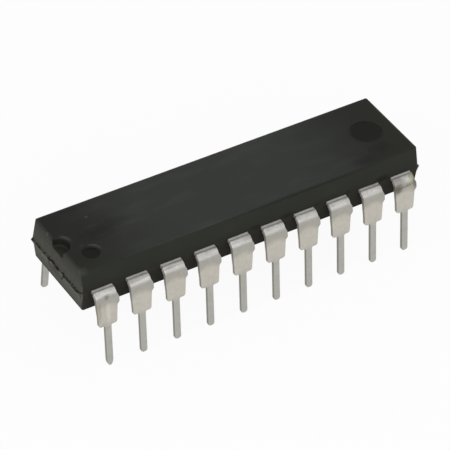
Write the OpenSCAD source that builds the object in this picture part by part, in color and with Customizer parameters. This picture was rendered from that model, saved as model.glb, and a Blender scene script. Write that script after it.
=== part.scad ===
// Twenty-lead plastic dual-in-line chip.
// X runs along the body from the notched end, Z is up, and Z = 0 is the plane of the lead tips.

/* [Moulded body] */
// Length of the body at the parting plane
body_l = 25.82; // [25.6:0.02:26.4]
// Width of the body at the parting plane
body_w = 6.48; // [6.2:0.02:6.8]
// Height of the half above the parting plane
upper_h = 1.60; // [1.4:0.05:1.9]
// Height of the half below the parting plane
lower_h = 1.55; // [1.3:0.05:1.7]
// Draft of the upper half's long sides, in degrees
upper_side_draft = 6.4; // [3:0.2:9]
// Draft of the upper half's ends, in degrees
upper_end_draft = 4.4; // [3:0.2:9]
// Draft of the lower half's long sides, in degrees
lower_side_draft = 4.4; // [3:0.2:9]
// Draft of the lower half's ends, in degrees
lower_end_draft = 5.2; // [3:0.2:9]
// Radius of the four upright corners
corner_r = 0.14; // [0.1:0.02:0.3]
// Radius along the top and bottom edges
edge_r = 0.05; // [0.03:0.01:0.12]

/* [Mould marks] */
// Radius of the end notch at the top face, over its rounded lip
notch_r = 0.90; // [0.6:0.02:1.1]
// Depth of the end notch
notch_depth = 0.58; // [0.3:0.02:0.8]
// Distance from the top face's edge in to the notch's centre
notch_inset = 0.06; // [0:0.02:0.3]
// Radius of the notch's lip and of its floor's edge
notch_round = 0.16; // [0.06:0.02:0.2]
// Taper of the walls of the notch and the dimple, in degrees
mark_draft = 8; // [4:1:20]
// Diameter of the pin-1 dimple at the top face
dimple_d = 1.34; // [0.8:0.02:1.6]
// Radius of the lip of the dimple and of the edge of its floor
dimple_round = 0.05; // [0.02:0.01:0.05]
// Depth of the pin-1 dimple
dimple_depth = 0.12; // [0.1:0.01:0.25]
// Distance from the top face's end edge to the dimple's centre
dimple_x = 1.55; // [1.2:0.05:2.4]
// Distance from the top face's side edge to the dimple's centre
dimple_y = 1.50; // [1.2:0.05:1.7]
// Diameter of the ejector marks
ejector_d = 2.20; // [1:0.1:2.8]
// Depth of the ejector marks
ejector_depth = 0.04; // [0.03:0.01:0.1]
// Radius of the lip of the ejector marks and of the edge of their floors
ejector_round = 0.01; // [0.005:0.005:0.015]
// Distance from the body's end to an ejector mark's centre
ejector_x = 2.18; // [1.8:0.02:3.2]
// How far the flash ridge stands out of the body's ends
flash_out = 0.16; // [0.06:0.01:0.25]
// Height of the flash ridge above its crest
flash_up = 0.16; // [0.1:0.02:0.3]
// Height of the flash ridge below its crest
flash_down = 0.44; // [0.34:0.02:0.6]
// Distance from the parting plane down to the ridge's crest
flash_drop = 0.05; // [0:0.01:0.12]
// Width of the broken-off gate on the notched end
gate_w = 1.70; // [1:0.1:2.4]
// Height of the broken-off gate
gate_h = 0.62; // [0.5:0.02:0.9]
// Distance of the gate's middle from the centre line
gate_y = 0.10; // [0:0.05:0.6]
// How far the gate's broken face stands out of the end
gate_out = 0.09; // [0.04:0.01:0.15]

/* [Leads outside the body] */
// Spacing of the leads along a side
pitch = 2.54; // [2.5:0.01:2.58]
// Thickness of the lead frame's metal
metal_t = 0.25; // [0.2:0.01:0.3]
// Width of a lead where it leaves the body
shoulder_w = 1.52; // [1.3:0.02:1.7]
// Width at the foot of the tapered shoulder
shoulder_foot_w = 1.36; // [1.2:0.02:1.5]
// Width of the leg
leg_w = 0.47; // [0.38:0.01:0.56]
// Length of metal that lies flat between the body and the bend
flat_l = 0.20; // [0.1:0.02:0.4]
// Inside radius of the bend
bend_r = 0.24; // [0.12:0.01:0.3]
// How far the legs spread from upright, in degrees
splay = 5.8; // [2:0.2:9]
// Depth of the body's underside above the seating plane
standoff = 1.02; // [0.5:0.02:1.2]
// Length of the legs below the seating plane
leg_l = 3.20; // [2.9:0.02:3.6]
// Radius of the shoulder's lower corners
foot_r = 0.18; // [0.08:0.02:0.3]
// Radius between the shoulder and the leg
neck_r = 0.12; // [0.06:0.01:0.2]
// Radius of the leg's tip corners
tip_r = 0.19; // [0.08:0.01:0.19]
// How far the cut dam bar's stub stands out on the side where the punch left more of it
stub_out = 0.12; // [0.04:0.01:0.15]
// How far the stub on the lead's other side stands out
small_stub_out = 0.02; // [0.01:0.01:0.1]
// Distance from the parting plane down to the stubs
stub_drop = 0.36; // [0.2:0.02:0.5]
// Height of the stubs
stub_h = 0.68; // [0.4:0.02:0.9]

/* [Lead frame inside the body] */
// Length of full-width lead held in the moulding
root_l = 0.60; // [0.4:0.05:0.7]
// Width of the inner fingers
finger_w = 0.36; // [0.26:0.02:0.4]
// Length of the paddle
paddle_l = 5.40; // [4.6:0.1:5.6]
// Width of the paddle
paddle_w = 2.70; // [2.4:0.1:2.9]
// How far the paddle is pressed down below the fingers
downset = 0.25; // [0.16:0.01:0.4]
// Gap between the paddle's edge and the fingers that face it
tip_gap = 0.32; // [0.2:0.02:0.36]
// Distance from the centre line to the innermost of the fingers that run along the body
first_lane_y = 0.55; // [0.5:0.01:0.6]
// Spacing of the fingers that run along the body
lane_pitch = 0.60; // [0.56:0.01:0.62]
// Distance from the middle to the end of the first finger beside the paddle
first_tip_x = 0.75; // [0.6:0.05:0.9]
// Distance from the middle to the end of the second finger beside the paddle
second_tip_x = 2.00; // [1.8:0.05:2.2]
// Width of the paddle's support bars
bar_w = 0.40; // [0.3:0.02:0.42]
// Width of each prong where a support bar forks
prong_w = 0.50; // [0.4:0.02:0.6]
// Half the distance between the prongs' middles
prong_y = 0.56; // [0.5:0.02:0.7]
// How far the fork sits to one side of the centre line
prong_shift = 0.24; // [0:0.02:0.3]
// Length of the prongs
prong_l = 0.90; // [0.6:0.05:1]

/* [Chip and wires] */
// Length of the silicon chip
die_l = 3.40; // [2:0.1:4.2]
// Width of the silicon chip
die_w = 2.00; // [1.4:0.1:2.2]
// Thickness of the silicon chip
die_t = 0.30; // [0.2:0.01:0.4]
// Thickness of the adhesive under the chip
attach_t = 0.03; // [0.02:0.005:0.05]
// How far the adhesive stands out round the chip
attach_rim = 0.06; // [0.02:0.01:0.1]
// Diameter of a bond wire
wire_d = 0.03; // [0.02:0.002:0.04]
// Height of a wire's loop
wire_loop = 0.30; // [0.2:0.02:0.5]
// Distance from the chip's edge in to the bond pads
pad_inset = 0.12; // [0.06:0.02:0.2]
// Distance from a finger's end back to where the wire lands
land_inset = 0.14; // [0.08:0.02:0.2]

/* [Hidden] */

// Leads on each side, as the list above names them
per_side = 10;
// Heights, from the lead tips up
seat_z = leg_l;
under_z = seat_z + standoff;
parting_z = under_z + lower_h;
top_z = parting_z + upper_h;
frame_z = parting_z - metal_t;
paddle_z = frame_z - downset;
die_z = paddle_z + metal_t + attach_t;
// Half sizes of the top face
top_half_l = body_l / 2 - upper_h * tan(upper_end_draft);
top_half_w = body_w / 2 - upper_h * tan(upper_side_draft);
// Reach of the ridges, and so of the whole part, from the middle
crest_x = body_l / 2 + flash_out;
// A hull's own parts need a little height
sliver = 0.001;
// How far a cutting or joining shape reaches past its face
reach = 0.5;
$fn = 64;

// Points along an arc
function arc(c, r, from, to, steps = 5) = [
    for (i = [0:steps]) let (a = from + (to - from) * i / steps) c + r * [cos(a), sin(a)]
];

function backwards(list) = [for (i = [len(list) - 1:-1:0]) list[i]];

// Children at the four corners of a rectangle, drawn in by the corner radius
module at_corners(half_l, half_w) {
    for (sx = [-1, 1], sy = [-1, 1])
        translate([sx * (half_l - corner_r), sy * (half_w - corner_r), 0]) children();
}

// One drafted half of the moulding, standing on the parting plane
module drafted_half(h, side_draft, end_draft) {
    hull() {
        at_corners(body_l / 2, body_w / 2) cylinder(r = corner_r, h = sliver, $fn = 32);
        at_corners(body_l / 2 - h * tan(end_draft), body_w / 2 - h * tan(side_draft))
            for (a = [0:30:90])
                translate([0, 0, h - edge_r * (1 - sin(a)) - sliver])
                    cylinder(r = corner_r - edge_r * (1 - cos(a)), h = sliver, $fn = 32);
    }
}

// Round recess sunk from the plane Z = 0, with a tapered wall, a rounded lip and a rounded floor edge
module recess(r, depth, round_r) {
    floor_r = r - round_r - (depth - 2 * round_r) * tan(mark_draft);
    rotate_extrude()
        polygon(concat(
            [[0, -depth]],
            arc([floor_r - round_r, round_r - depth], round_r, -90, 0),
            arc([r, -round_r], round_r, 180, 90),
            [[r, reach], [0, reach]]
        ));
}

// Ridge of flash along the parting line of one end, seen along the end
module flash_ridge() {
    crest_z = parting_z - flash_drop;
    inner_x = body_l / 2 - reach;
    upper_x = body_l / 2 - (flash_up - flash_drop) * tan(upper_end_draft);
    lower_x = body_l / 2 - (flash_down + flash_drop) * tan(lower_end_draft);
    rotate([90, 0, 0])
        linear_extrude(body_w - 2 * corner_r, center = true)
            polygon([
                [inner_x, crest_z + flash_up], [upper_x, crest_z + flash_up], [crest_x, crest_z],
                [lower_x, crest_z - flash_down], [inner_x, crest_z - flash_down]
            ]);
}

// Ridge of the notched end, broken away where the gate was
module broken_ridge() {
    difference() {
        rotate(180) flash_ridge();
        translate([-body_l / 2 - gate_out - reach, gate_y - gate_w / 2, under_z])
            cube([reach, gate_w, upper_h + lower_h]);
    }
}

// Stump of the gate under the parting plane
module gate() {
    translate([-body_l / 2 - gate_out, gate_y - gate_w / 2, parting_z - gate_h])
        cube([gate_out + reach, gate_w, gate_h]);
}

module moulding() {
    translate([0, 0, parting_z]) {
        drafted_half(upper_h, upper_side_draft, upper_end_draft);
        mirror([0, 0, 1]) drafted_half(lower_h, lower_side_draft, lower_end_draft);
    }
    flash_ridge();
    broken_ridge();
    gate();
}

module ejector_mark() {
    recess(ejector_d / 2, ejector_depth, ejector_round);
}

module mould_marks() {
    translate([notch_inset - top_half_l, 0, top_z]) recess(notch_r, notch_depth, notch_round);
    translate([dimple_x - top_half_l, dimple_y - top_half_w, top_z])
        recess(dimple_d / 2, dimple_depth, dimple_round);
    translate([body_l / 2 - ejector_x, 0, top_z]) ejector_mark();
    for (sx = [-1, 1])
        translate([sx * (body_l / 2 - ejector_x), 0, under_z]) mirror([0, 0, 1]) ejector_mark();
}

module moulded_body() {
    color("#33332f")
        difference() {
            moulding();
            mould_marks();
            for (number = [1:2 * per_side]) lead(number);
            die_paddle();
            die_attach();
            silicon_die();
            bond_wires();
        }
}

// Strip of metal bent from the parting plane down to the tip, as seen along the body.
// The first axis runs outwards and the second one up.
module bent_strip() {
    bend_x = body_w / 2 + flat_l;
    outer_r = bend_r + metal_t;
    bend_z = parting_z - outer_r;
    leg_run = bend_z / cos(splay) + metal_t;
    translate([body_w / 2 - root_l, frame_z]) square([root_l + flat_l, metal_t]);
    translate([bend_x, bend_z]) {
        intersection() {
            difference() {
                circle(outer_r);
                circle(bend_r);
            }
            polygon(2 * outer_r * [[0, 0], [0, 1], [1, 1], [cos(splay), sin(splay)]]);
        }
        rotate(splay) translate([bend_r, -leg_run]) square([metal_t, leg_run]);
    }
}

// Right half of a lead's outline, as seen from outside, from its top down to its tip
function lead_half(stub) = concat(
    [[shoulder_w / 2, parting_z + reach]],
    [[shoulder_w / 2, parting_z - stub_drop + stub / 2]],
    [[shoulder_w / 2 + stub, parting_z - stub_drop]],
    [[shoulder_w / 2 + stub, parting_z - stub_drop - stub_h]],
    [[shoulder_w / 2, parting_z - stub_drop - stub_h - stub / 2]],
    arc([shoulder_foot_w / 2 - foot_r, seat_z + foot_r], foot_r, 0, -90),
    arc([leg_w / 2 + neck_r, seat_z - neck_r], neck_r, 90, 180),
    arc([leg_w / 2 - tip_r, tip_r], tip_r, 0, -90)
);

module lead_outline() {
    polygon(concat(
        lead_half(stub_out),
        [for (p = backwards(lead_half(small_stub_out))) [-p[0], p[1]]]
    ));
}

// Where the inner fingers of one quarter run, counted from the middle lead out: a knee and the tip.
// The first two end beside the paddle. The others run along the body in lanes, to the paddle's end.
root_y = body_w / 2 - root_l;
end_tip_x = paddle_l / 2 + tip_gap;
side_tip_y = paddle_w / 2 + tip_gap;
function lead_x(place) = (place + 0.5) * pitch;
function lane_y(place) = first_lane_y + (per_side / 2 - 1 - place) * lane_pitch;
function lane_route(place, tip_x) = [
    [lead_x(place) - (root_y - lane_y(place)), lane_y(place)],
    [tip_x, lane_y(place)]
];
finger_routes = [
    [[first_tip_x, root_y - (lead_x(0) - first_tip_x)], [first_tip_x, side_tip_y]],
    [[lead_x(1) - lane_pitch, root_y - lane_pitch / 2], [second_tip_x, side_tip_y]],
    lane_route(2, end_tip_x + finger_w),
    lane_route(3, end_tip_x),
    lane_route(4, end_tip_x)
];
function finger_points(place) = concat(
    [[lead_x(place), root_y + finger_w], [lead_x(place), root_y]],
    finger_routes[place]
);

// Strip of even width along a list of points, with square ends and round knees
module strip(points, width) {
    for (i = [0:len(points) - 2]) {
        way = points[i + 1] - points[i];
        translate(points[i])
            rotate(atan2(way[1], way[0])) translate([0, -width / 2]) square([norm(way), width]);
        if (i > 0) translate(points[i]) circle(d = width, $fn = 32);
    }
}

// Lead at a place along the near side, counted from the body's middle towards +X.
// Its outline is flipped where the whole lead is mirrored afterwards, so all stubs stay on one side.
module quarter_lead(place, flip) {
    translate([0, 0, frame_z]) linear_extrude(metal_t) mirror([0, 1]) strip(finger_points(place), finger_w);
    translate([lead_x(place), 0, 0])
        intersection() {
            rotate([90, 0, -90]) linear_extrude(2 * shoulder_w, center = true) bent_strip();
            rotate([90, 0, 0]) linear_extrude(body_w) mirror([flip, 0]) lead_outline();
        }
}

// Lead by its number: up the near side from the notch, and back along the far one
module lead(number) {
    along = number <= per_side ? number : number - per_side;
    place = along - 0.5 - per_side / 2;
    flip = place < 0 ? 1 : 0;
    color("#b9b9b1")
        rotate(number <= per_side ? 0 : 180)
            mirror([flip, 0, 0]) quarter_lead(floor(abs(place)), flip);
}

// Paddle with its pressed-down middle, two support bars and their forked ends
module die_paddle() {
    bar_start = paddle_l / 2;
    slope_end = bar_start + downset + metal_t;
    fork_x = crest_x - prong_l;
    bar_top = [
        [fork_x + prong_w, parting_z], [slope_end - metal_t / 2, parting_z],
        [bar_start + metal_t / 2, paddle_z + metal_t], [bar_start - reach, paddle_z + metal_t]
    ];
    bar_bottom = [
        [bar_start - reach, paddle_z], [bar_start + metal_t, paddle_z],
        [slope_end, frame_z], [fork_x + prong_w, frame_z]
    ];
    color("#b48a5a") {
        translate([0, 0, paddle_z + metal_t / 2]) cube([paddle_l, paddle_w, metal_t], center = true);
        for (turn = [0, 180]) rotate(turn) {
            rotate([90, 0, 0]) linear_extrude(bar_w, center = true) polygon(concat(bar_top, bar_bottom));
            translate([fork_x, prong_shift, frame_z]) linear_extrude(metal_t) {
                translate([0, -prong_y]) square([prong_w, 2 * prong_y]);
                for (sy = [-1, 1]) translate([0, sy * prong_y - prong_w / 2]) square([prong_l, prong_w]);
            }
        }
    }
}

module die_attach() {
    color("#d8d8d2")
        translate([0, 0, die_z - attach_t / 2])
            cube([die_l + 2 * attach_rim, die_w + 2 * attach_rim, attach_t], center = true);
}

module silicon_die() {
    color("#5a6270")
        translate([0, 0, die_z + die_t / 2]) cube([die_l, die_w, die_t], center = true);
}

// Rings of a wire that leaves its pad upright, arches over and comes down upright on its finger
wire_steps = 8;
wire_sides = 6;
function wire_ring(from, to, a) = let (
    way = [to[0] - from[0], to[1] - from[1], 0],
    across = way / norm(way),
    rise = to[2] - from[2],
    gone = (1 - cos(a)) / 2,
    middle = from + way * gone + [0, 0, rise * gone + wire_loop * sin(a)],
    tangent = across * norm(way) * sin(a) / 2 + [0, 0, rise * sin(a) / 2 + wire_loop * cos(a)],
    side = cross([0, 0, 1], across),
    up = cross(tangent / norm(tangent), side)
) [
    for (i = [0:wire_sides - 1]) let (b = i * 360 / wire_sides)
        middle + wire_d / 2 * (cos(b) * side + sin(b) * up)
];

module wire(from, to) {
    rings = [for (i = [0:wire_steps]) wire_ring(from, to, 180 * i / wire_steps)];
    points = [for (ring = rings) each ring];
    last = wire_steps * wire_sides;
    walls = [
        for (i = [0:wire_steps - 1], j = [0:wire_sides - 1])
            let (k = (j + 1) % wire_sides, a = i * wire_sides, b = a + wire_sides)
                each [[a + j, b + j, b + k], [a + j, b + k, a + k]]
    ];
    ends = [[for (j = [0:wire_sides - 1]) j], [for (j = [wire_sides - 1:-1:0]) last + j]];
    polyhedron(points, concat(walls, ends));
}

// Pad that faces a finger's end from the chip's middle, on the ring of pads inside the chip's edge
function pad_for(tip) = tip * min(
    (die_l / 2 - pad_inset) / abs(tip[0]),
    (die_w / 2 - pad_inset) / abs(tip[1])
);

module quarter_wires() {
    for (route = finger_routes) {
        tip = route[1];
        back = route[0] - tip;
        land = tip + back * land_inset / norm(back);
        pad = pad_for(tip);
        wire([pad[0], pad[1], die_z + die_t], [land[0], land[1], parting_z]);
    }
}

module bond_wires() {
    color("#e0b040")
        for (sx = [0, 1], sy = [0, 1]) mirror([sx, 0, 0]) mirror([0, sy, 0]) quarter_wires();
}

moulded_body();
die_paddle();
die_attach();
silicon_die();
bond_wires();
lead(1);  // lead_01
lead(2);  // lead_02
lead(3);  // lead_03
lead(4);  // lead_04
lead(5);  // lead_05
lead(6);  // lead_06
lead(7);  // lead_07
lead(8);  // lead_08
lead(9);  // lead_09
lead(10);  // lead_10
lead(11);  // lead_11
lead(12);  // lead_12
lead(13);  // lead_13
lead(14);  // lead_14
lead(15);  // lead_15
lead(16);  // lead_16
lead(17);  // lead_17
lead(18);  // lead_18
lead(19);  // lead_19
lead(20);  // lead_20
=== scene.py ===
import math

import bmesh
import bpy
from mathutils import Matrix, Vector, noise


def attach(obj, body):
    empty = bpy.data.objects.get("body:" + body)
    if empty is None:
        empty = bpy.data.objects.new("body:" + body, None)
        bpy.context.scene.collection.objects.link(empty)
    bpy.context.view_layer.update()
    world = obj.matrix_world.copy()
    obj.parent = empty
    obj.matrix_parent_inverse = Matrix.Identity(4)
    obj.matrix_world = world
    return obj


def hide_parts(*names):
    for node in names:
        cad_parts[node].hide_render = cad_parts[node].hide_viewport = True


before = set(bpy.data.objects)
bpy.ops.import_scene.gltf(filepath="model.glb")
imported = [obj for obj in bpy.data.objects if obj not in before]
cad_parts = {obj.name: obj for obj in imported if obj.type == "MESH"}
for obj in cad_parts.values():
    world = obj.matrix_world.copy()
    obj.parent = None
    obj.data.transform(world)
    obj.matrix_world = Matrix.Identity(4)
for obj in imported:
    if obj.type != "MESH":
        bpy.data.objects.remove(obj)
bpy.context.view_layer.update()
mm = 0.001
print("frame loaded:", len(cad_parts), "nodes")


# Camera, as the photograph was taken: angles in degrees, lengths in mm
photoCamera = {
    "azimuth": -32.857, "elevation": 40.514, "roll": 2.110,
    "distance": 211.79, "target": (-0.174, 0.0, 3.786),
    "lens": 256.50, "sensor": 36.0,
}


def makeCamera():
    azimuth = math.radians(photoCamera["azimuth"])
    elevation = math.radians(photoCamera["elevation"])
    roll = math.radians(photoCamera["roll"])
    back = Vector((math.sin(azimuth) * math.cos(elevation),
                   -math.cos(azimuth) * math.cos(elevation), math.sin(elevation)))
    sideways = (-back).cross(Vector((0, 0, 1))).normalized()
    upright = sideways.cross(-back)
    right = math.cos(roll) * sideways + math.sin(roll) * upright
    up = math.cos(roll) * upright - math.sin(roll) * sideways
    camera = bpy.data.objects.new("photo_camera", bpy.data.cameras.new("photo_camera"))
    bpy.context.scene.collection.objects.link(camera)
    eye = (Vector(photoCamera["target"]) + back * photoCamera["distance"]) * mm
    turned = Matrix((right, up, back)).transposed().to_4x4()
    camera.matrix_world = Matrix.Translation(eye) @ turned
    camera.data.lens = photoCamera["lens"]
    camera.data.sensor_width = photoCamera["sensor"]
    camera.data.clip_start, camera.data.clip_end = 0.005, 20
    bpy.context.scene.camera = camera


makeCamera()
print("camera placed")


# A socket takes a value or another node's output
def addNode(tree, kind, column, row, sockets=None, **settings):
    node = tree.nodes.new("ShaderNode" + kind)
    node.location = (column * 220, row * -170)
    for name, value in settings.items():
        setattr(node, name, value)
    for key, value in (sockets or {}).items():
        if isinstance(value, bpy.types.NodeSocket):
            tree.links.new(value, node.inputs[key])
        else:
            node.inputs[key].default_value = value
    return node


def calc(tree, column, row, operation, *values):
    return addNode(tree, "Math", column, row, dict(enumerate(values)), operation=operation).outputs[0]


# Start becomes low, stop high
def span(tree, column, row, value, start, stop=1.0, low=0.0, high=1.0, smooth=False):
    node = addNode(tree, "MapRange", column, row, {
        "Value": value, "From Min": start, "From Max": stop, "To Min": low, "To Max": high})
    if smooth:
        node.interpolation_type = "SMOOTHSTEP"
    return node.outputs[0]


def noiseOver(tree, column, row, vector, scale, detail, roughness=0.5):
    return addNode(tree, "TexNoise", column, row, {
        "Vector": vector, "Scale": scale, "Detail": detail, "Roughness": roughness}).outputs[0]


def newGroup(name, inputs, outputs):
    tree = bpy.data.node_groups.new(name, "ShaderNodeTree")
    for label, kind, value in inputs:
        socket = tree.interface.new_socket(name=label, in_out="INPUT", socket_type="NodeSocket" + kind)
        if value is not None:
            socket.default_value = value
    for label, kind in outputs:
        tree.interface.new_socket(name=label, in_out="OUTPUT", socket_type="NodeSocket" + kind)
    entry, leave = tree.nodes.new("NodeGroupInput"), tree.nodes.new("NodeGroupOutput")
    entry.location, leave.location = (-400, 0), (1500, 0)
    return tree, entry.outputs, leave.inputs


# Surface effects, each a group that works in millimetres

def makeGrainGroup():  # fine even grain for a bump, and a slow cloudiness for the tone
    tree, given, result = newGroup(
        "fineGrain",
        [("Place", "Vector", None), ("Grain Size", "Float", 0.1), ("Cloud Size", "Float", 4.0)],
        [("Height", "Float"), ("Cloud", "Float")])
    fine = calc(tree, 0, 0, "DIVIDE", 1.0, given["Grain Size"])
    slow = calc(tree, 0, 2, "DIVIDE", 1.0, given["Cloud Size"])
    height = noiseOver(tree, 1, 0, given["Place"], fine, 3.0, 0.6)
    cloud = noiseOver(tree, 1, 2, given["Place"], slow, 4.0, 0.55)
    spread = span(tree, 2, 2, cloud, 0.3, 0.7)
    tree.links.new(height, result["Height"])
    tree.links.new(spread, result["Cloud"])
    return tree


def makeSpotGroup():  # one soft or ragged patch round a point
    tree, given, result = newGroup(
        "spotMask",
        [("Place", "Vector", None), ("Centre", "Vector", (0, 0, 0)), ("Reach", "Vector", (1, 1, 1)),
         ("Softness", "Float", 0.2), ("Raggedness", "Float", 0.0), ("Rag Size", "Float", 0.2)],
        [("Mask", "Float")])
    away = addNode(tree, "VectorMath", 0, 0, {0: given["Place"], 1: given["Centre"]}, operation="SUBTRACT")
    share = addNode(tree, "VectorMath", 1, 0, {0: away.outputs[0], 1: given["Reach"]}, operation="DIVIDE")
    far = addNode(tree, "VectorMath", 2, 0, {0: share.outputs[0]}, operation="LENGTH")
    fine = calc(tree, 0, 2, "DIVIDE", 1.0, given["Rag Size"])
    ragged = noiseOver(tree, 1, 2, given["Place"], fine, 3.0, 0.6)
    centred = calc(tree, 2, 2, "SUBTRACT", ragged, 0.5)
    edge = calc(tree, 3, 1, "MULTIPLY_ADD", centred, given["Raggedness"], far.outputs["Value"])
    outer = calc(tree, 3, 2, "ADD", 1.0, given["Softness"])
    inner = calc(tree, 3, 3, "SUBTRACT", 1.0, given["Softness"])
    mask = span(tree, 4, 1, edge, outer, inner, smooth=True)
    tree.links.new(mask, result["Mask"])
    return tree


def makeSpeckGroup():  # small specks scattered at random
    tree, given, result = newGroup(
        "scatteredSpecks",
        [("Place", "Vector", None), ("Spacing", "Float", 1.0), ("Radius", "Float", 0.05),
         ("Amount", "Float", 0.3)],
        [("Mask", "Float")])
    scale = calc(tree, 0, 0, "DIVIDE", 1.0, given["Spacing"])
    cells = addNode(tree, "TexVoronoi", 1, 0, {"Vector": given["Place"], "Scale": scale})
    away = calc(tree, 2, 0, "MULTIPLY", cells.outputs["Distance"], given["Spacing"])
    pick = addNode(tree, "SeparateColor", 2, 1, {0: cells.outputs["Color"]})
    size = calc(tree, 3, 2, "MULTIPLY", pick.outputs[1], given["Radius"])
    near = calc(tree, 4, 0, "LESS_THAN", away, size)
    chosen = calc(tree, 4, 1, "LESS_THAN", pick.outputs[0], given["Amount"])
    mask = calc(tree, 5, 0, "MULTIPLY", near, chosen)
    tree.links.new(mask, result["Mask"])
    return tree


def makeStreakGroup():  # long thin marks, drawn out along one direction
    tree, given, result = newGroup(
        "drawnStreaks",
        [("Place", "Vector", None), ("Stretch", "Vector", (1, 8, 1)), ("Width", "Float", 0.1),
         ("Amount", "Float", 0.5)],
        [("Mask", "Float")])
    drawn = addNode(tree, "VectorMath", 0, 0, {0: given["Place"], 1: given["Stretch"]}, operation="DIVIDE")
    scale = calc(tree, 0, 1, "DIVIDE", 1.0, given["Width"])
    marks = noiseOver(tree, 1, 0, drawn.outputs[0], scale, 2.0, 0.5)
    low = calc(tree, 2, 2, "SUBTRACT", 0.75, given["Amount"])
    high = calc(tree, 3, 2, "ADD", low, 0.25)
    mask = span(tree, 4, 0, marks, low, high, smooth=True)
    tree.links.new(mask, result["Mask"])
    return tree


def makeLipGroup():  # part of the rounded lip of a round recess, strongest towards one side
    tree, given, result = newGroup(
        "recessLip",
        [("Place", "Vector", None), ("Centre", "Vector", (0, 0, 0)), ("Radius", "Float", 1.0),
         ("Width", "Float", 0.1), ("Toward", "Vector", (1, 0, 0)), ("Tightness", "Float", 0.25),
         ("Lowest", "Float", 0.0)],
        [("Mask", "Float")])
    away = addNode(tree, "VectorMath", 0, 0, {0: given["Place"], 1: given["Centre"]}, operation="SUBTRACT")
    flatAway = addNode(tree, "VectorMath", 1, 0, {0: away.outputs[0], 1: (1, 1, 0)}, operation="MULTIPLY")
    far = addNode(tree, "VectorMath", 2, 0, {0: flatAway.outputs[0]}, operation="LENGTH")
    off = calc(tree, 3, 0, "SUBTRACT", far.outputs["Value"], given["Radius"])
    gap = calc(tree, 4, 0, "ABSOLUTE", off)
    ring = span(tree, 5, 0, gap, given["Width"], 0.0, smooth=True)
    way = addNode(tree, "VectorMath", 2, 1, {0: flatAway.outputs[0]}, operation="NORMALIZE")
    facing = addNode(tree, "VectorMath", 3, 1, {0: way.outputs[0], 1: given["Toward"]},
                     operation="DOT_PRODUCT")
    side = span(tree, 4, 1, facing.outputs["Value"], given["Tightness"])
    height = addNode(tree, "SeparateXYZ", 1, 2, {0: given["Place"]})
    above = calc(tree, 2, 2, "GREATER_THAN", height.outputs[2], given["Lowest"])
    turned = calc(tree, 6, 0, "MULTIPLY", ring, side)
    mask = calc(tree, 7, 0, "MULTIPLY", turned, above)
    tree.links.new(mask, result["Mask"])
    return tree


fineGrain, spotMask, recessLip = makeGrainGroup(), makeSpotGroup(), makeLipGroup()
scatteredSpecks, drawnStreaks = makeSpeckGroup(), makeStreakGroup()
print("surface effects built")


def newMaterial(name):
    material = bpy.data.materials.new(name)
    material.use_nodes = True
    tree = material.node_tree
    shader = tree.nodes["Principled BSDF"]
    shader.location = (2600, 0)
    tree.nodes["Material Output"].location = (2900, 0)
    coords = addNode(tree, "TexCoord", -3, 0)
    place = addNode(tree, "VectorMath", -2, 0, {0: coords.outputs["Object"], 1: (1000, 1000, 1000)},
                    operation="MULTIPLY")
    return material, tree, shader, place.outputs[0]


def useGroup(tree, group, column, row, **sockets):
    node = addNode(tree, "Group", column, row, node_tree=group)
    for key, value in sockets.items():
        label = "".join(" " + c if c.isupper() else c for c in key).strip().title()
        if isinstance(value, bpy.types.NodeSocket):
            tree.links.new(value, node.inputs[label])
        else:
            node.inputs[label].default_value = value
    return node.outputs


def spotAt(tree, column, row, place, centre, reach, softness, raggedness, ragSize):
    return useGroup(tree, spotMask, column, row, place=place, centre=centre, reach=reach, softness=softness,
                    raggedness=raggedness, ragSize=ragSize)["Mask"]


# Lays a colour over another where the mask is
def tint(tree, column, row, mask, under, over, strength=1.0, blend="MIX"):
    if strength != 1.0:
        mask = calc(tree, column - 1, row + 1, "MULTIPLY", mask, strength)
    mix = addNode(tree, "Mix", column, row, {0: mask, 6: under, 7: over}, data_type="RGBA",
                  blend_type=blend)
    return mix.outputs[2]


def level(tree, column, row, mask, low, high):  # a value between two ends
    return span(tree, column, row, mask, 0.0, 1.0, low, high)


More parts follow.
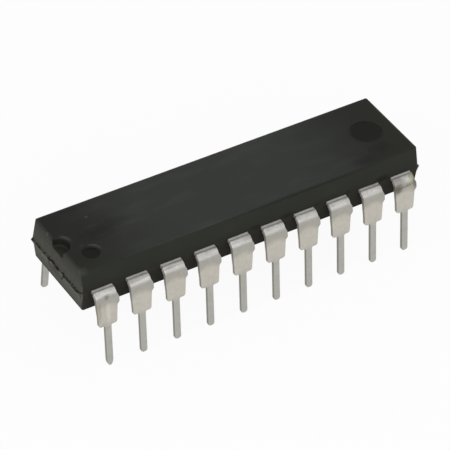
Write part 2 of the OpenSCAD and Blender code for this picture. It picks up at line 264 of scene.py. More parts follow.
# The black moulding: matt epoxy with a painted highlight across the middle of the top, and smooth where the
# mould's pins pressed it, with a painted dark reflection there
moulding = {
    "colour": (0.0192, 0.0206, 0.0157, 1), "cloudColour": (0.0228, 0.0244, 0.0190, 1),
    "lowWarmth": (1.16, 1.04, 1.04, 1), "topShade": (0.76, 0.72, 0.77, 1), "topZ": 7.36,
    # From, to, and the values there
    "topFade": (-9.0, 6.0, 1.0, 0.4), "edgeFade": (-2.9, -1.6, 0.1, 1.0), "lowBand": (5.95, 5.65),
    "paintedTopSheen": (0.0420, 0.0450, 0.0415, 1), "smudgeAndShadeColour": (0.0068, 0.0066, 0.0056, 1),
    # Painted light on the ends, brightest at the parting line and mottled
    "endPaintedLight": (0.0760, 0.0765, 0.0620, 1), "endLightZ": 5.45, "endLightReach": 1.90, "endLightLeft": 0.04,
    "endLightMottle": (0.34, 0.66, 1.2, 0.64), "fleckBand": (0.45, 0.15), "fleckLevels": (0.60, 0.68),
    "dirt": (0.0045, 0.0042, 0.0036, 1), "paleSpeckAndHighlight": (0.090, 0.090, 0.080, 1),
    "paintedEdgeHighlight": (0.060, 0.061, 0.055, 1), "lipLowest": 7.12,
    "notchWallShade": (0.0118, 0.0118, 0.0098, 1), "notchFloorLight": (0.0235, 0.0235, 0.0185, 1),
    "gateBrown": (0.062, 0.057, 0.046, 1), "resinOlive": (0.022, 0.021, 0.008, 1),
    "roughness": (0.50, 0.58), "pressedRoughness": 0.38, "gateRoughness": 0.8, "specular": 0.07,
    "paintedSheenSpot": ((-0.7, 0.9, 7.37), (8.7, 9.0, 0.07)), "paintedSheenPatches": (1.0, 0.74),
    "dimple": ((-11.237, -1.56, 7.25), (0.56, 0.56, 0.11)),
    "notchDeep": ((-12.727, 0.0, 7.03), (1.25, 1.25, 0.33)),
    "notchBottom": ((-12.727, 0.0, 6.78), (0.86, 0.86, 0.12)),
    # Painted highlight on the lips of the notch and the dimple, on the side that faces the light
    "lips": [  # centre, radius, width, side, how tightly it keeps to that side, strength
        ((-12.727, 0.0, 7.37), 0.90, 0.15, (0.87, 0.50, 0), 0.84, 0.9),
        ((-11.237, -1.56, 7.37), 0.71, 0.13, (0.80, 0.60, 0), 0.68, 1.0)],
    "ejectorMarks": [((10.73, 0, 7.35), (1.10, 1.10, 0.10)), ((10.73, 0, 4.23), (1.10, 1.10, 0.10)),
                     ((-10.73, 0, 4.23), (1.10, 1.10, 0.10))],
    "dimpleEdge": 0.11, "ejectorEdge": 0.20,
    "creaseZ": 5.80, "creaseWidth": 0.030, "creaseWander": 0.12, "creaseChips": 0.4, "endX": 12.78,
    "gate": ((-13.00, 0.10, 5.50), (0.30, 0.90, 0.42)),
    # Pale specks, a nick and faint streaks on the top; the large soft one at the near corner by the notched
    # end is a painted highlight
    "paleMarksAndHighlight": [  # centre, reach, strength
        ((-9.825, 1.58, 7.37), (0.10, 0.08, 0.08), 0.45), ((-12.78, 1.40, 7.30), (0.12, 0.13, 0.10), 0.45),
        ((-12.62, -2.86, 7.3), (0.34, 0.30, 0.26), 0.22), ((-11.46, -0.72, 7.37), (0.13, 0.10, 0.08), 0.15),
        ((-9.99, 0.65, 7.37), (0.45, 0.08, 0.05), 0.10), ((-9.85, -0.44, 7.37), (0.30, 0.07, 0.05), 0.08)],
    # Dark smudges on the top at both ends; the long line just under the near top edge and the spots on the
    # near side above the leads are painted shade
    "smudgesAndShade": [  # centre, reach, strength
        ((-10.5, 2.9, 7.37), (0.9, 0.35, 0.05), 0.30), ((-9.9, -0.1, 7.37), (1.2, 0.4, 0.05), 0.26),
        ((-9.8, 0.4, 7.37), (1.5, 1.2, 0.05), 0.20), ((10.3, -2.4, 7.37), (1.6, 0.6, 0.05), 0.24),
        ((-8.5, 0.3, 7.37), (1.2, 0.35, 0.05), 0.24), ((10.6, -1.8, 7.37), (0.7, 0.42, 0.05), 0.34),
        ((9.0, -2.6, 7.37), (0.7, 0.38, 0.05), 0.34), ((3.8, -3.085, 7.29), (4.8, 0.13, 0.12), 0.50),
        ((-9.82, -3.08, 7.33), (0.07, 0.07, 0.06), 0.60), ((9.98, -3.24, 5.88), (0.48, 0.30, 0.22), 0.75),
        ((7.28, -3.24, 5.84), (0.34, 0.30, 0.16), 0.45), ((4.86, -3.24, 5.80), (0.34, 0.30, 0.16), 0.40),
        ((2.50, -3.24, 5.84), (0.46, 0.30, 0.20), 0.60), ((0.02, -3.24, 5.82), (0.46, 0.30, 0.20), 0.50)],
    "sideShadeBand": (6.30, 5.85), "sideShadeStrength": 0.24,
    "farRimHighlight": (2.88, 3.05), "endRimHighlight": (12.58, 12.76), "rimStrength": 0.5,  # pale rims of the top
    "resinStain": ((12.55, -3.24, 5.35), (0.42, 0.30, 0.42)),
}


def makeMouldingMaterial():
    material, tree, shader, place = newMaterial("moulded_epoxy")
    grain = useGroup(tree, fineGrain, -1, 0, place=place, grainSize=0.07, cloudSize=3.4)
    colour = tint(tree, 0, 0, grain["Cloud"], moulding["colour"], moulding["cloudColour"])
    parts = addNode(tree, "SeparateXYZ", -1, 11, {0: place})
    # Painted shade: the top darker towards the notched end and away from the near edge
    onTop = calc(tree, -1, 10, "GREATER_THAN", parts.outputs[2], moulding["topZ"])
    fade = span(tree, -1, 8, parts.outputs[0], *moulding["topFade"])
    fromEdge = span(tree, -1, 9, parts.outputs[1], *moulding["edgeFade"])
    shade = calc(tree, 0, 8, "MULTIPLY", fade, fromEdge)
    shade = calc(tree, 0, 9, "MULTIPLY", shade, onTop)
    colour = tint(tree, 0, -1, shade, colour, moulding["topShade"], blend="MULTIPLY")
    low = span(tree, 0, 10, parts.outputs[2], *moulding["lowBand"])
    colour = tint(tree, 1, -1, low, colour, moulding["lowWarmth"], blend="MULTIPLY")
    outward = calc(tree, 1, 11, "ABSOLUTE", parts.outputs[0])
    atEnd = calc(tree, 2, 11, "GREATER_THAN", outward, moulding["endX"])
    # Painted highlight: the top lighter in its middle, in uneven patches
    paintedTopSheen = spotAt(tree, -1, 1, place, *moulding["paintedSheenSpot"], 0.45, 0.25, 3.0)
    patches = useGroup(tree, drawnStreaks, -1, 3, place=place, stretch=(2.5, 1, 1), width=1.3,
                       amount=0.45)["Mask"]
    paintedTopSheen = calc(tree, 0, 1, "MULTIPLY", paintedTopSheen, level(tree, -1, 4, patches, *moulding["paintedSheenPatches"]))
    colour = tint(tree, 1, 0, paintedTopSheen, colour, moulding["paintedTopSheen"])
    for number, (centre, reach, strength) in enumerate(moulding["smudgesAndShade"]):
        spot = spotAt(tree, -4, 3 + number, place, centre, reach, 0.7, 0.9, 0.5)
        colour = tint(tree, 3 + number, -5, spot, colour, moulding["smudgeAndShadeColour"], strength)
    # Painted shade: a darker band just above the parting line, uneven with the cloudiness
    sideShade = span(tree, -1, 7, parts.outputs[2], *moulding["sideShadeBand"])
    sideShade = calc(tree, 0, 7, "MULTIPLY", sideShade, grain["Cloud"])
    colour = tint(tree, 2, -1, sideShade, colour, moulding["dirt"], moulding["sideShadeStrength"])
    # Painted highlight along the far and end rims of the top
    farRim = span(tree, 0, 14, parts.outputs[1], *moulding["farRimHighlight"])
    endRim = span(tree, 0, 15, outward, *moulding["endRimHighlight"])
    rim = calc(tree, 1, 14, "MAXIMUM", farRim, endRim)
    rim = calc(tree, 1, 15, "MULTIPLY", rim, onTop)
    colour = tint(tree, 2, -3, rim, colour, moulding["paintedEdgeHighlight"], moulding["rimStrength"])
    specks = useGroup(tree, scatteredSpecks, -1, 2, place=place, spacing=0.55, radius=0.035, amount=0.30)
    colour = tint(tree, 2, 0, specks["Mask"], colour, moulding["paleSpeckAndHighlight"], 0.25)
    for number, (centre, reach, strength) in enumerate(moulding["paleMarksAndHighlight"]):
        spot = spotAt(tree, -2, 3 + number, place, centre, reach, 0.5, 0.6, 0.1)
        colour = tint(tree, 3 + number, -2, spot, colour, moulding["paleSpeckAndHighlight"], strength)

    # Pressed places share one mask; their darker colour is a painted dark reflection of their smoother faces
    pressed = None
    for number, (centre, reach) in enumerate([moulding["dimple"], *moulding["ejectorMarks"]]):
        uneven = moulding["dimpleEdge" if number == 0 else "ejectorEdge"]
        spot = spotAt(tree, -1, 5 + number, place, centre, reach, uneven, uneven, 0.3)
        pressed = spot if pressed is None else calc(tree, number, 5, "MAXIMUM", pressed, spot)
    colour = tint(tree, 5, 0, pressed, colour, moulding["smudgeAndShadeColour"])
    # Painted shade on the notch's walls and painted light on its floor
    for number, (spotName, tone) in enumerate([("notchDeep", "notchWallShade"), ("notchBottom", "notchFloorLight")]):
        spot = spotAt(tree, -3, 5 + number, place, *moulding[spotName], 0.15, 0.1, 0.2)
        spot = addNode(tree, "Mix", 4 + number, -5, {0: atEnd, 2: spot, 3: 0.0}).outputs[0]
        colour = tint(tree, 5 + number, -3, spot, colour, moulding[tone])
    # Painted highlight on the lit side of each recess's lip
    for number, (centre, radius, width, toward, tightness, strength) in enumerate(moulding["lips"]):
        lip = useGroup(tree, recessLip, -4, 5 + number, place=place, centre=centre, radius=radius,
                       width=width, toward=toward, tightness=tightness, lowest=moulding["lipLowest"])["Mask"]
        colour = tint(tree, 5 + number, -4, lip, colour, moulding["paintedEdgeHighlight"], strength)

    # Ragged crease along the parting line of both ends: a bumped groove with painted shade in it
    wander = noiseOver(tree, -1, 12, place, 1.6, 5.0, 0.7)
    lowest = moulding["creaseZ"] - moulding["creaseWander"] / 2
    drift = calc(tree, 0, 12, "MULTIPLY_ADD", wander, moulding["creaseWander"], lowest)
    off = calc(tree, 1, 12, "SUBTRACT", parts.outputs[2], drift)
    gap = calc(tree, 2, 12, "ABSOLUTE", off)
    chips = noiseOver(tree, 0, 13, place, 4.5, 4.0, 0.65)
    gap = calc(tree, 2, 13, "MULTIPLY_ADD", chips, moulding["creaseChips"], gap)
    gap = calc(tree, 3, 13, "SUBTRACT", gap, moulding["creaseChips"] / 2)
    line = span(tree, 3, 12, gap, moulding["creaseWidth"] * 1.6, moulding["creaseWidth"] * 0.4, smooth=True)
    crease = calc(tree, 4, 12, "MULTIPLY", line, atEnd)
    # Painted light on the ends, strongest at the parting line
    fromParting = calc(tree, 1, 10, "SUBTRACT", parts.outputs[2], moulding["endLightZ"])
    fromParting = calc(tree, 2, 10, "ABSOLUTE", fromParting)
    endLit = span(tree, 3, 10, fromParting, 0.0, moulding["endLightReach"], 1.0, moulding["endLightLeft"])
    endLit = calc(tree, 4, 10, "MULTIPLY", endLit, atEnd)
    mottle = noiseOver(tree, 2, 9, place, 3.4, 5.0, 0.7)
    mottle = span(tree, 3, 9, mottle, *moulding["endLightMottle"])
    endLit = calc(tree, 5, 10, "MULTIPLY", endLit, mottle)
    nearLine = span(tree, 4, 14, fromParting, *moulding["fleckBand"])
    flecks = noiseOver(tree, 3, 15, place, 6.0, 2.0, 0.5)
    flecks = span(tree, 4, 15, flecks, *moulding["fleckLevels"])
    flecks = calc(tree, 5, 15, "MULTIPLY", flecks, nearLine)
    flecks = calc(tree, 6, 15, "MULTIPLY", flecks, atEnd)
    gate = spotAt(tree, -1, 14, place, *moulding["gate"], 0.1, 0.5, 0.25)
    stain = spotAt(tree, -1, 15, place, *moulding["resinStain"], 0.4, 0.6, 0.2)
    colour = tint(tree, 6, -1, endLit, colour, moulding["endPaintedLight"])
    colour = tint(tree, 7, -1, flecks, colour, moulding["paleSpeckAndHighlight"], 0.5)
    colour = tint(tree, 6, 0, gate, colour, moulding["gateBrown"], 0.8)
    colour = tint(tree, 7, 0, crease, colour, moulding["dirt"], 0.85)
    colour = tint(tree, 8, 0, stain, colour, moulding["resinOlive"], 0.7)

    rough = level(tree, 6, 3, grain["Cloud"], *moulding["roughness"])
    rough = addNode(tree, "Mix", 7, 3, {0: pressed, 2: rough, 3: moulding["pressedRoughness"]}).outputs[0]
    rough = addNode(tree, "Mix", 8, 3, {0: gate, 2: rough, 3: moulding["gateRoughness"]}).outputs[0]
    calm = level(tree, 6, 5, pressed, 1.0, 0.25)
    grainHeight = calc(tree, 7, 5, "MULTIPLY", grain["Height"], calm)
    sunk = calc(tree, 8, 5, "MULTIPLY_ADD", crease, -2.0, grainHeight)
    bump = addNode(tree, "Bump", 9, 5, {"Height": sunk, "Strength": 0.35, "Distance": 0.02 * mm})
    tree.links.new(colour, shader.inputs["Base Color"])
    tree.links.new(rough, shader.inputs["Roughness"])
    tree.links.new(bump.outputs[0], shader.inputs["Normal"])
    shader.inputs["Specular IOR Level"].default_value = moulding["specular"]
    return material


# Tin-plated leads. Tones run along the metal, from the moulding to the tip: the tin's own colour under
# painted reflections, with painted shade beside the moulding, a painted highlight on the bend and a darker
# painted reflection below it
tinPlate = {
    "tinAndReflectionTones": [  # distance from the moulding in mm, colour
        (0.00, (0.13, 0.126, 0.12, 1)), (0.06, (0.42, 0.41, 0.39, 1)), (0.13, (0.58, 0.57, 0.55, 1)),
        (0.20, (0.70, 0.69, 0.67, 1)), (0.30, (0.70, 0.69, 0.67, 1)), (0.44, (0.51, 0.503, 0.485, 1)),
        (0.55, (0.385, 0.378, 0.36, 1)), (0.64, (0.375, 0.367, 0.345, 1)), (0.80, (0.39, 0.378, 0.344, 1)),
        (1.10, (0.40, 0.387, 0.342, 1)), (1.50, (0.535, 0.508, 0.448, 1)), (2.60, (0.525, 0.50, 0.445, 1)),
        (3.10, (0.435, 0.426, 0.388, 1)), (5.80, (0.425, 0.418, 0.385, 1))],
    "cloudShade": (0.90, 0.90, 0.89, 1), "mottleShade": (0.86, 0.865, 0.87, 1), "reach": 6.0,
    "pitShade": (0.78, 0.78, 0.78, 1),
    "archDrop": 0.5, "archFrom": 0.60, "archTo": 1.10,  # the bend's shaded foot hangs lower at its sides
    "dirt": (0.115, 0.105, 0.084, 1), "ruddy": (0.16, 0.10, 0.07, 1),
    "shearColour": (0.215, 0.205, 0.185, 1), "shearInBend": (0.27, 0.258, 0.238, 1),
    "stain": (0.30, 0.305, 0.185, 1), "stainDark": (0.085, 0.085, 0.060, 1),
    "roughness": (0.36, 0.46), "shearRoughness": 0.6,
    # Plating the forming tools never rubbed, beside the moulding
    "frostedTo": 0.19, "frostedMetallic": 0.15,
    "bendLine": 0.195, "bendLineWidth": 0.017,
    "bendLineWorn": (3.0, 10.0, 0.45, 1.0),  # clearest on the leads near the ends
    "bendLineBreaks": (0.38, 0.55), "mottleLevels": (0.42, 0.72), "pitLevels": (0.52, 0.62),
    "rubbedIn": (0.22, 0.32), "rubbedOut": (0.62, 0.48), "shearIn": (0.20, 0.30), "shearOut": (0.72, 0.58),
    "greenStain": ((12.02, -3.72, 5.62), (0.22, 0.30, 0.40)),
    "greenDark": ((12.24, -3.84, 5.32), (0.20, 0.50, 0.50)),
    "darkSmears": [  # centre, reach, strength
        ((10.86, -3.93, 5.12), (0.34, 0.30, 0.30), 0.85), ((11.75, -3.92, 5.22), (0.42, 0.25, 0.10), 0.40),
        ((10.92, -3.80, 5.58), (0.48, 0.36, 0.30), 0.60), ((11.30, -3.93, 5.16), (0.45, 0.25, 0.09), 0.35),
        ((-11.42, -3.9, 5.34), (0.17, 0.30, 0.15), 0.50), ((-12.02, -3.95, 4.35), (0.14, 0.40, 0.70), 0.28),
        ((-11.62, -4.00, 4.62), (0.10, 0.40, 0.30), 0.12)],
    "dentHighlight": ((-11.36, -4.02, 4.10), (0.13, 0.40, 0.75)),
}


def makeTinMaterial():
    material, tree, shader, place = newMaterial("tin_plate")
    flat = addNode(tree, "UVMap", -3, 3, uv_map="leadFlat").outputs[0]
    seeded = addNode(tree, "VectorMath", -2, 3, {0: flat, 1: place}, operation="ADD").outputs[0]
    along = addNode(tree, "SeparateXYZ", -1, 7, {0: flat}).outputs[1]
    grain = useGroup(tree, fineGrain, -1, 0, place=place, grainSize=0.05, cloudSize=0.9)

    # Tin colour with painted reflections and highlight along the metal, their edges a little uneven
    across = addNode(tree, "SeparateXYZ", -1, 8, {0: flat}).outputs[0]
    squared = calc(tree, 0, 6, "MULTIPLY", across, across)
    below = span(tree, 0, 5, along, tinPlate["archFrom"], tinPlate["archTo"], 0.0, -tinPlate["archDrop"])
    arched = calc(tree, 1, 5, "MULTIPLY_ADD", squared, below, along)
    uneven = calc(tree, 0, 1, "MULTIPLY_ADD", grain["Cloud"], 0.12, arched)
    share = calc(tree, 0, 2, "DIVIDE", uneven, tinPlate["reach"])
    ramp = addNode(tree, "ValToRGB", 1, 1, {0: share})
    stops = ramp.color_ramp.elements
    for number, (far, tone) in enumerate(tinPlate["tinAndReflectionTones"]):
        stop = stops[number] if number < 2 else stops.new(far / tinPlate["reach"])
        stop.position, stop.color = far / tinPlate["reach"], tone
    colour = tint(tree, 2, 0, grain["Cloud"], ramp.outputs[0], tinPlate["cloudShade"], 0.6, "MULTIPLY")
    mottle = noiseOver(tree, 1, 4, place, 3.2, 4.0, 0.65)
    mottle = span(tree, 2, 4, mottle, *tinPlate["mottleLevels"])
    colour = tint(tree, 3, 1, mottle, colour, tinPlate["mottleShade"], 0.7, "MULTIPLY")
    # Small dull pits where the tools rubbed the bend
    rubbed = span(tree, 1, 10, along, *tinPlate["rubbedIn"])
    rubbed = calc(tree, 2, 10, "MULTIPLY", rubbed, span(tree, 1, 11, along, *tinPlate["rubbedOut"]))
    pits = noiseOver(tree, 2, 11, seeded, 9.0, 2.0, 0.6)
    pits = span(tree, 3, 11, pits, *tinPlate["pitLevels"])
    pits = calc(tree, 4, 11, "MULTIPLY", pits, rubbed)
    colour = tint(tree, 3, 2, pits, colour, tinPlate["pitShade"], 0.9, "MULTIPLY")
    streaks = useGroup(tree, drawnStreaks, -1, 3, place=place, stretch=(1, 6, 14), width=0.09, amount=0.30)
    colour = tint(tree, 3, 0, streaks["Mask"], colour, tinPlate["shearColour"], 0.05)
    specks = useGroup(tree, scatteredSpecks, -1, 5, place=place, spacing=0.42, radius=0.045, amount=0.25)
    colour = tint(tree, 4, 0, specks["Mask"], colour, tinPlate["dirt"], 0.25)

    off = calc(tree, 0, 7, "SUBTRACT", along, tinPlate["bendLine"])
    gap = calc(tree, 1, 7, "ABSOLUTE", off)
    line = span(tree, 2, 7, gap, tinPlate["bendLineWidth"] * 1.8, tinPlate["bendLineWidth"] * 0.5)
    broken = noiseOver(tree, 0, 8, seeded, 2.2, 3.0)
    kept = span(tree, 1, 8, broken, *tinPlate["bendLineBreaks"])
    bendLine = calc(tree, 3, 7, "MULTIPLY", line, kept)
    outward = calc(tree, 2, 8, "ABSOLUTE", addNode(tree, "SeparateXYZ", 1, 9, {0: place}).outputs[0])
    worn = span(tree, 3, 8, outward, *tinPlate["bendLineWorn"])
    bendLine = calc(tree, 4, 7, "MULTIPLY", bendLine, worn)
    lineTone = tint(tree, 5, 3, mottle, tinPlate["dirt"], tinPlate["ruddy"], 0.6)
    colour = tint(tree, 6, 0, bendLine, colour, lineTone, 0.55)

    for number, (centre, reach, strength) in enumerate(tinPlate["darkSmears"]):
        smear = spotAt(tree, -2, 10 + number, place, centre, reach, 0.6, 0.9, 0.25)
        colour = tint(tree, 7 + number, -2, smear, colour, tinPlate["dirt"], strength)
    # Painted highlight along the ridge of the first lead's dent
    dentGleam = spotAt(tree, -2, 17, place, *tinPlate["dentHighlight"], 0.7, 0.4, 0.3)
    colour = tint(tree, 12, -2, dentGleam, colour, tinPlate["tinAndReflectionTones"][4][1], 0.30)
    stain = spotAt(tree, -1, 14, place, *tinPlate["greenStain"], 0.4, 0.7, 0.2)
    colour = tint(tree, 13, 0, stain, colour, tinPlate["stain"], 0.88)
    deep = spotAt(tree, -1, 15, place, *tinPlate["greenDark"], 0.4, 0.6, 0.2)
    colour = tint(tree, 14, 0, deep, colour, tinPlate["stainDark"], 0.75)
    stain = calc(tree, 14, 2, "MAXIMUM", stain, deep)
    cut = addNode(tree, "Attribute", -1, 16, attribute_name="shearedEdge").outputs["Fac"]
    inBend = span(tree, 13, 3, along, *tinPlate["shearIn"])
    inBend = calc(tree, 14, 4, "MULTIPLY", inBend, span(tree, 13, 4, along, *tinPlate["shearOut"]))
    shearTone = tint(tree, 14, 3, inBend, tinPlate["shearColour"], tinPlate["shearInBend"])
    colour = tint(tree, 15, 0, cut, colour, shearTone, 0.75)

    rough = level(tree, 9, 4, grain["Cloud"], *tinPlate["roughness"])
    rough = addNode(tree, "Mix", 10, 4, {0: cut, 2: rough, 3: tinPlate["shearRoughness"]}).outputs[0]
    frosted = span(tree, 9, 6, along, tinPlate["frostedTo"] + 0.05, tinPlate["frostedTo"] - 0.05,
                   1.0, tinPlate["frostedMetallic"])
    metal = level(tree, 10, 6, stain, 1.0, 0.45)
    metal = calc(tree, 11, 6, "MULTIPLY", metal, frosted)
    dull = calc(tree, 11, 7, "MULTIPLY", cut, inBend)
    metal = addNode(tree, "Mix", 12, 6, {0: dull, 2: metal, 3: tinPlate["frostedMetallic"]}).outputs[0]
    height = calc(tree, 9, 5, "MULTIPLY_ADD", streaks["Mask"], -0.2, grain["Height"])
    sunk = calc(tree, 10, 5, "MULTIPLY_ADD", bendLine, -1.0, height)
    bump = addNode(tree, "Bump", 11, 5, {"Height": sunk, "Strength": 0.25, "Distance": 0.012 * mm})
    tree.links.new(colour, shader.inputs["Base Color"])
    tree.links.new(rough, shader.inputs["Roughness"])
    tree.links.new(metal, shader.inputs["Metallic"])
    tree.links.new(bump.outputs[0], shader.inputs["Normal"])
    return material


# What the moulding hides: stamped frame, adhesive, chip and wires
innerFinishes = {
    "frame_copper": {"colours": ((0.50, 0.30, 0.17, 1), (0.62, 0.42, 0.26, 1)), "roughness": (0.34, 0.50),
                     "metallic": 1.0, "grain": 0.05, "cloud": 1.2, "bump": 0.25,
                     "cutFrom": 12.90, "cutRoughness": 0.7, "smear": (0.044, 0.039, 0.031, 1),
                     "cutMetal": (0.20, 0.19, 0.165, 1), "glintZ": (5.60, 5.77), "glintLevels": (0.36, 0.50)},
    "silver_adhesive": {"colours": ((0.46, 0.46, 0.44, 1), (0.66, 0.66, 0.62, 1)), "roughness": (0.5, 0.7),
                        "metallic": 0.6, "grain": 0.04, "cloud": 0.3, "bump": 0.5},
    "silicon_chip": {"colours": ((0.06, 0.075, 0.11, 1), (0.12, 0.11, 0.16, 1)), "roughness": (0.16, 0.30),
                     "metallic": 0.3, "grain": 0.10, "cloud": 0.5, "bump": 0.1},
    "gold_wire": {"colours": ((0.85, 0.58, 0.20, 1), (0.95, 0.70, 0.30, 1)), "roughness": (0.18, 0.28),
                  "metallic": 1.0, "grain": 0.02, "cloud": 0.4, "bump": 0.1},
}


def makeInnerMaterial(name):
    finish = innerFinishes[name]
    material, tree, shader, place = newMaterial(name)
    grain = useGroup(tree, fineGrain, -1, 0, place=place, grainSize=finish["grain"],
                     cloudSize=finish["cloud"])
    colour = tint(tree, 1, 0, grain["Cloud"], *finish["colours"])
    streaks = useGroup(tree, drawnStreaks, -1, 2, place=place, stretch=(12, 1, 1),
                       width=finish["grain"] * 2, amount=0.3)
    colour = tint(tree, 2, 0, streaks["Mask"], colour, (0.2, 0.2, 0.2, 1), 0.12)
    if name == "silicon_chip":  # plain cells and tracks, of no real circuit
        cells = addNode(tree, "TexBrick", 0, 4, {
            "Vector": place, "Color1": (0.10, 0.13, 0.20, 1), "Color2": (0.17, 0.14, 0.19, 1),
            "Mortar": (0.42, 0.40, 0.34, 1), "Scale": 1.0, "Mortar Size": 0.012, "Brick Width": 0.46,
            "Row Height": 0.22})
        colour = tint(tree, 3, 0, grain["Cloud"], cells.outputs[0], colour, 0.5)
    rough = level(tree, 3, 2, grain["Cloud"], *finish["roughness"])
    shader.inputs["Metallic"].default_value = finish["metallic"]
    # The bars' cut ends, torn and smeared with resin, with metal left in a few spots
    if "cutFrom" in finish:
        parts = addNode(tree, "SeparateXYZ", 0, 6, {0: place})
        outward = calc(tree, 1, 6, "ABSOLUTE", parts.outputs[0])
        cut = calc(tree, 2, 6, "GREATER_THAN", outward, finish["cutFrom"])
        torn = noiseOver(tree, 1, 8, place, 2.6, 3.0)
        high = span(tree, 1, 7, parts.outputs[2], *finish["glintZ"])
        glint = calc(tree, 2, 7, "MULTIPLY", torn, high)
        glint = span(tree, 3, 7, glint, *finish["glintLevels"])
        ending = tint(tree, 4, 6, glint, finish["smear"], finish["cutMetal"])
        colour = tint(tree, 5, 0, cut, colour, ending)
        rough = addNode(tree, "Mix", 5, 2, {0: cut, 2: rough, 3: finish["cutRoughness"]}).outputs[0]
        tree.links.new(level(tree, 5, 4, cut, 1.0, 0.2), shader.inputs["Metallic"])
    bump = addNode(tree, "Bump", 6, 3, {
        "Height": grain["Height"], "Strength": finish["bump"], "Distance": 0.01 * mm})
    tree.links.new(colour, shader.inputs["Base Color"])
    tree.links.new(rough, shader.inputs["Roughness"])
    tree.links.new(bump.outputs[0], shader.inputs["Normal"])
    return material


mouldedEpoxy, tinned = makeMouldingMaterial(), makeTinMaterial()
nodeMaterials = {
    "moulded_body": mouldedEpoxy,
    "die_paddle": makeInnerMaterial("frame_copper"),
    "die_attach": makeInnerMaterial("silver_adhesive"),
    "silicon_die": makeInnerMaterial("silicon_chip"),
    "bond_wires": makeInnerMaterial("gold_wire"),
}
for nodeName, material in nodeMaterials.items():
    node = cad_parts[nodeName]
    node.data.materials.clear()
    node.data.materials.append(material)
print("materials built")


# One lead, cut flat, bevelled, then bent. Lengths in mm, angles in degrees
lead = {
    "pitch": 2.54, "perSide": 10, "metal": 0.25, "bodyHalf": 3.24, "flat": 0.20, "bendRadius": 0.24,
    "splay": 5.8, "partingZ": 5.77, "shoulderZ": 3.20, "shoulder": 1.52, "shoulderFoot": 1.36, "leg": 0.47,
    "footRadius": 0.18, "neckRadius": 0.12, "tipRadius": 0.19,
    # The first lead's tip was cut to a point
    "point": [(0.235, 0.44), (0.195, 0.20), (0.13, 0.07), (0.05, 0.0)],
    # Out and along, where a bar was cut
    "stub": [(0.0, 0.60), (0.13, 0.84), (0.16, 1.08), (0.16, 1.30), (0.0, 1.50)],
    "swell": [  # along, out at the outer face, out at the inner face: metal squeezed out at the plain side
        (0.15, 0.0, 0.0), (0.32, 0.045, 0.085), (0.70, 0.045, 0.085), (1.0, 0.04, 0.06),
        (1.6, 0.02, 0.035), (2.1, 0.0, 0.0)],
    "root": 0.60, "finger": 0.36, "sideTip": 1.67, "endTip": 3.02, "lane": 0.60, "firstLane": 0.55,
    "firstTip": 0.75, "secondTip": 2.00,
    "swellFrom": 0.62, "rim": 0.034, "rimSteps": 2, "bendCuts": 14, "legCuts": (0.12, 0.3, 0.8, 1.4),
}
lead["middleRadius"] = lead["bendRadius"] + lead["metal"] / 2
lead["bendStart"] = lead["bodyHalf"] + lead["flat"]
lead["bendZ"] = lead["partingZ"] - lead["bendRadius"] - lead["metal"]
lead["bendTurn"] = math.radians(90 - lead["splay"])
lead["bendEnd"] = lead["bendStart"] + lead["middleRadius"] * lead["bendTurn"]
lead["legTop"] = lead["bendZ"] + lead["middleRadius"] * math.sin(math.radians(lead["splay"]))


def arcPoints(cx, cy, radius, start, stop, steps=6):
    angles = [math.radians(start + (stop - start) * i / steps) for i in range(steps + 1)]
    return [(cx + radius * math.cos(a), cy + radius * math.sin(a)) for a in angles]


def alongMetal(z):  # how far along the flat metal a height on the bent lead lies
    rise = (z - lead["bendZ"]) / lead["middleRadius"]
    if z <= lead["legTop"]:
        return lead["bendEnd"] + (lead["legTop"] - z) / math.cos(math.radians(lead["splay"]))
    return lead["bendStart"] + lead["middleRadius"] * (math.pi / 2 - math.asin(min(rise, 1)))


def outerHalf(stub, pointed):  # right half of the outline outside the moulding, from the root to the tip
    half, foot, leg = lead["shoulder"] / 2, lead["shoulderFoot"] / 2, lead["leg"] / 2
    points = arcPoints(foot - lead["footRadius"], lead["shoulderZ"] + lead["footRadius"],
                       lead["footRadius"], 0, -90)
    points += arcPoints(leg + lead["neckRadius"], lead["shoulderZ"] - lead["neckRadius"],
                        lead["neckRadius"], 90, 180)
    if pointed:
        points += lead["point"]
    else:
        points += arcPoints(leg - lead["tipRadius"], lead["tipRadius"], lead["tipRadius"], 0, -90)
    stubPoints = [(half + out, lead["bodyHalf"] + s) for out, s in lead["stub"]] if stub else []
    return stubPoints + [(x, alongMetal(z)) for x, z in points]


def fingerRoute(place):
    rootEnd, leadX = lead["bodyHalf"] - lead["root"], (place + 0.5) * lead["pitch"]
    laneY = lead["firstLane"] + (lead["perSide"] / 2 - 1 - place) * lead["lane"]
    start = [(leadX, rootEnd)]
    if place == 0:
        return start + [(lead["firstTip"], rootEnd - (leadX - lead["firstTip"])),
                        (lead["firstTip"], lead["sideTip"])]
    if place == 1:
        return start + [(leadX - lead["lane"], rootEnd - lead["lane"] / 2),
                        (lead["secondTip"], lead["sideTip"])]
    tipX = lead["endTip"] + (lead["finger"] if place == 2 else 0)
    return start + [(leadX - (rootEnd - laneY), laneY), (tipX, laneY)]


def fingerSide(route, side):  # one long side of the finger, round on the outside of its knee
    half, points = lead["finger"] / 2, []
    path = [Vector((route[0][0], route[0][1] + 0.3))] + [Vector(p) for p in route]
    ways = [(b - a).normalized() for a, b in zip(path, path[1:])]
    for knee, before, after in zip(path[1:], ways, ways[1:]):
        turn = before.x * after.y - before.y * after.x
        normals = [Vector((-w.y, w.x)) * side for w in (before, after)]
        if turn * side > 0:  # inside of the turn
            middle = (normals[0] + normals[1]).normalized()
            points.append(knee + middle * half / middle.dot(normals[0]))
        else:
            for i in range(5):
                points.append(knee + normals[0].slerp(normals[1], i / 4) * half)
    last = Vector((-ways[-1].y, ways[-1].x)) * side
    points.append(path[-1] + last * half)
    return points


